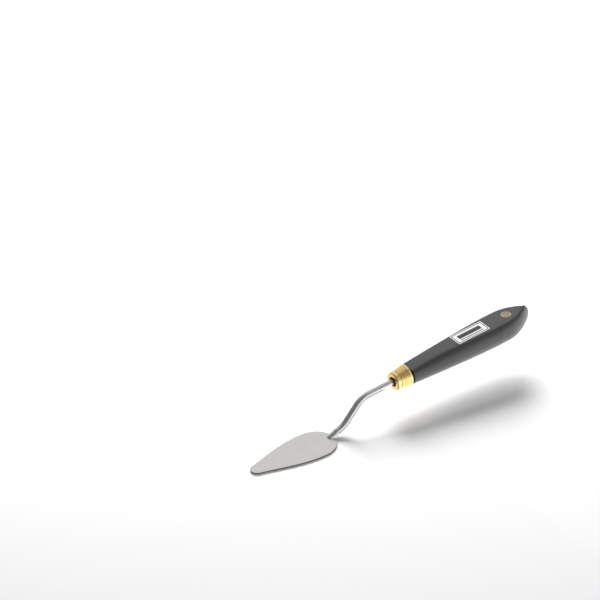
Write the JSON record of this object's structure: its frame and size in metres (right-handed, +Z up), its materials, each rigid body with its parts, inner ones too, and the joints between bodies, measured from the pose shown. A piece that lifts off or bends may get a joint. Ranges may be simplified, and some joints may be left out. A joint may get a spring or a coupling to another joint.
{
  "type": "palette knife",
  "caption": "Painting knife with a leaf-shaped blade on a cranked steel neck, a brass ferrule and a dark wooden handle with a hang hole.",
  "frame": {"origin": "on the blade's underside, on the centre line, below the front edge of the neck's foot", "axes": "+X from the blade's tip towards the handle's butt, +Z up, away from the blade's underside, with the whole knife symmetric about the XZ plane"},
  "size_m": [0.23, 0.0282, 0.041],
  "materials": {
    "blade_steel": "fine satin polish",
    "weld_steel": "bright polish",
    "rod_steel": "bright polish",
    "ferrule_brass": "turned and polished",
    "handle_wood": "satin charcoal lacquer",
    "adhesive": "cured epoxy",
    "label_paper": "smooth, blank"
  },
  "bodies": {
    "root": {"blade": "blade_steel", "weld_fillet": "weld_steel", "neck": "rod_steel", "ferrule": "ferrule_brass", "handle": "handle_wood", "tang_adhesive": "adhesive", "label": "label_paper"}
  },
  "joints": []
}
